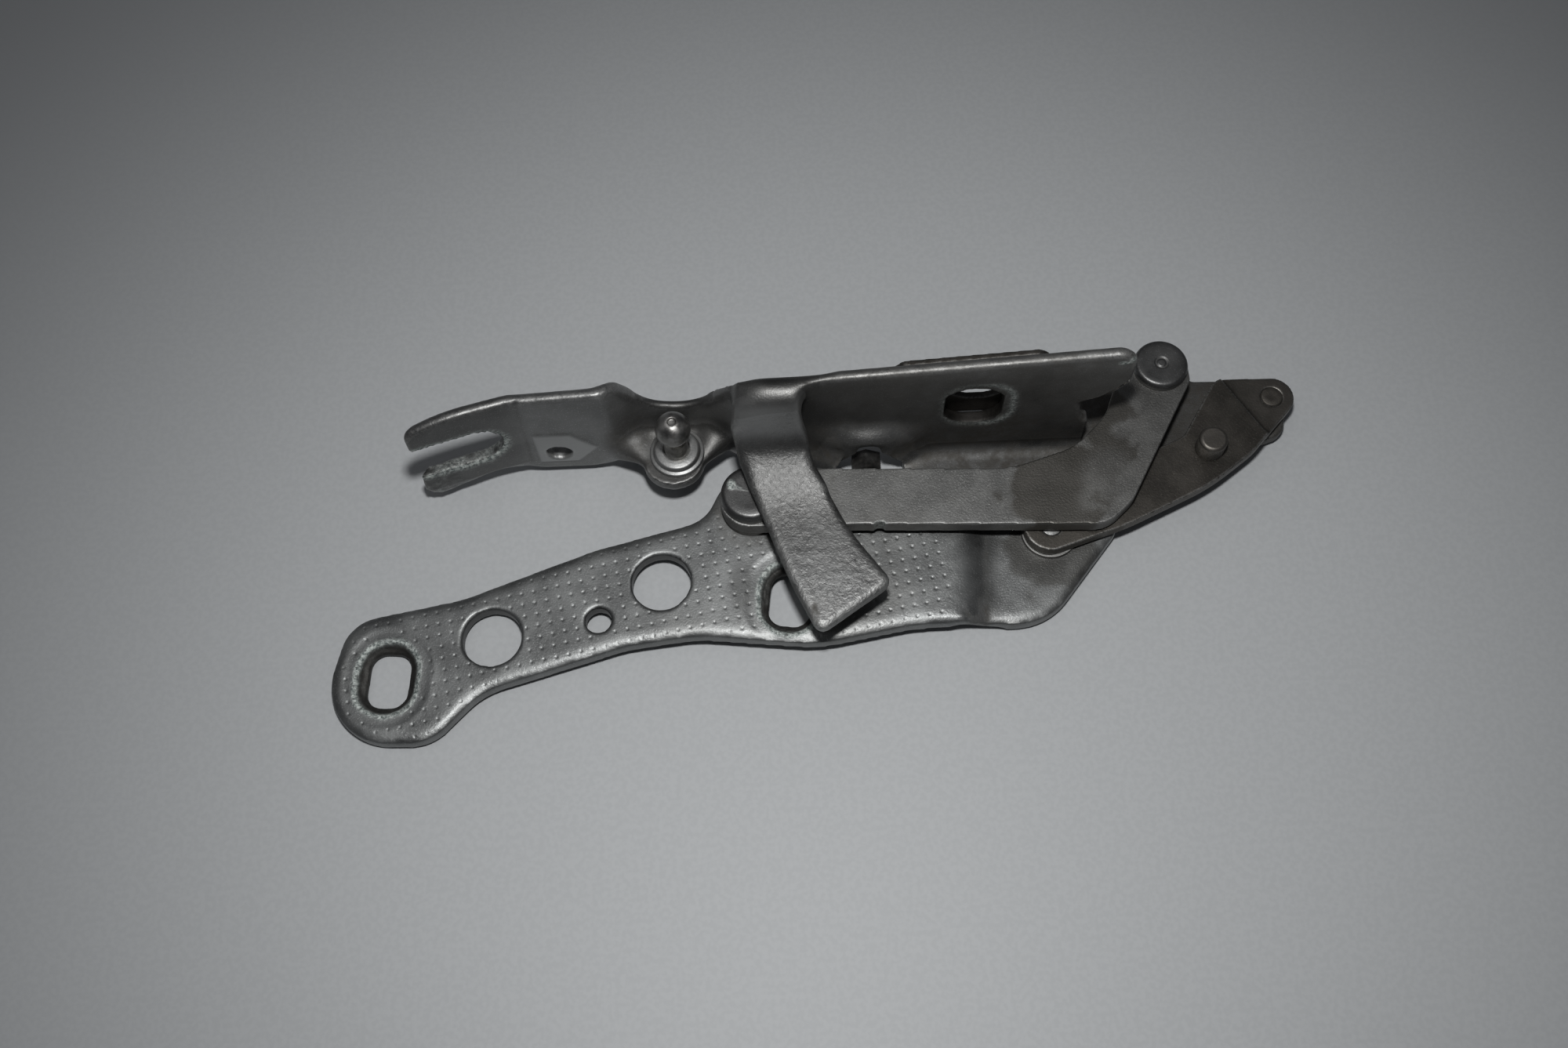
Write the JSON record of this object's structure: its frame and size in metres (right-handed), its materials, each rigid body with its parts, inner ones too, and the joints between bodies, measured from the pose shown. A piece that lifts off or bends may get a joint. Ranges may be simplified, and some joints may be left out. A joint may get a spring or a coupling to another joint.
{
  "type": "hood hinge",
  "caption": "Riveted four-bar car hood hinge of grey painted pressed steel with a slotted fender plate, a folded hood flange and a gas strut ball stud",
  "frame": {"origin": "Axis of the rear locating hole, at the underside of the fender plate's level part", "axes": "+X along the hood flange toward the riveted end, +Y across the fender plate toward the hood flange, +Z along the rivets, out of the fender plate's top face"},
  "size_m": [0.2447, 0.0966, 0.0496],
  "materials": {
    "painted_steel": "satin",
    "bare_steel": "satin",
    "dark_steel": "satin"
  },
  "bodies": {
    "fender_side": {"lower_bracket": "painted_steel", "bush_a": "bare_steel", "washer_a": "painted_steel", "bush_b": "bare_steel", "washer_b": "bare_steel"},
    "arm": {"link_arm": "painted_steel", "rivet_a": "painted_steel", "rivet_c": "painted_steel"},
    "hood_side": {"upper_bracket": "painted_steel", "reinforcement_plate": "painted_steel", "bush_c": "bare_steel", "washer_c": "painted_steel", "ball_stud": "bare_steel", "stud_collar": "painted_steel", "stop_screw": "dark_steel", "stop_screw_nut": "dark_steel"},
    "link": {"short_link": "painted_steel", "rivet_b": "painted_steel", "rivet_d": "painted_steel", "bush_d": "bare_steel", "washer_d": "bare_steel", "stop_pin": "painted_steel"}
  },
  "joints": [
    {"name": "pivot_a", "type": "hinge", "parent": "fender_side", "child": "arm", "pos_m": [0.0231, 0.0186, 0.0043], "axis": [0, 0, 1], "range_deg": [0, 30]},
    {"name": "pivot_c", "type": "hinge", "parent": "arm", "child": "hood_side", "pos_m": [0.1285, 0.0502, 0.0052], "axis": [0, 0, 1], "range_deg": [-67.3, 0]},
    {"name": "pivot_b", "type": "hinge", "parent": "fender_side", "child": "link", "pos_m": [0.0974, 0.0099, 0.0015], "axis": [0, 0, 1], "range_deg": [0, 43.5]}
  ],
  "couplings": [
    {"joint": "pivot_c", "follows": "pivot_a", "ratio": -2.2434},
    {"joint": "pivot_b", "follows": "pivot_a", "ratio": 1.4504}
  ]
}
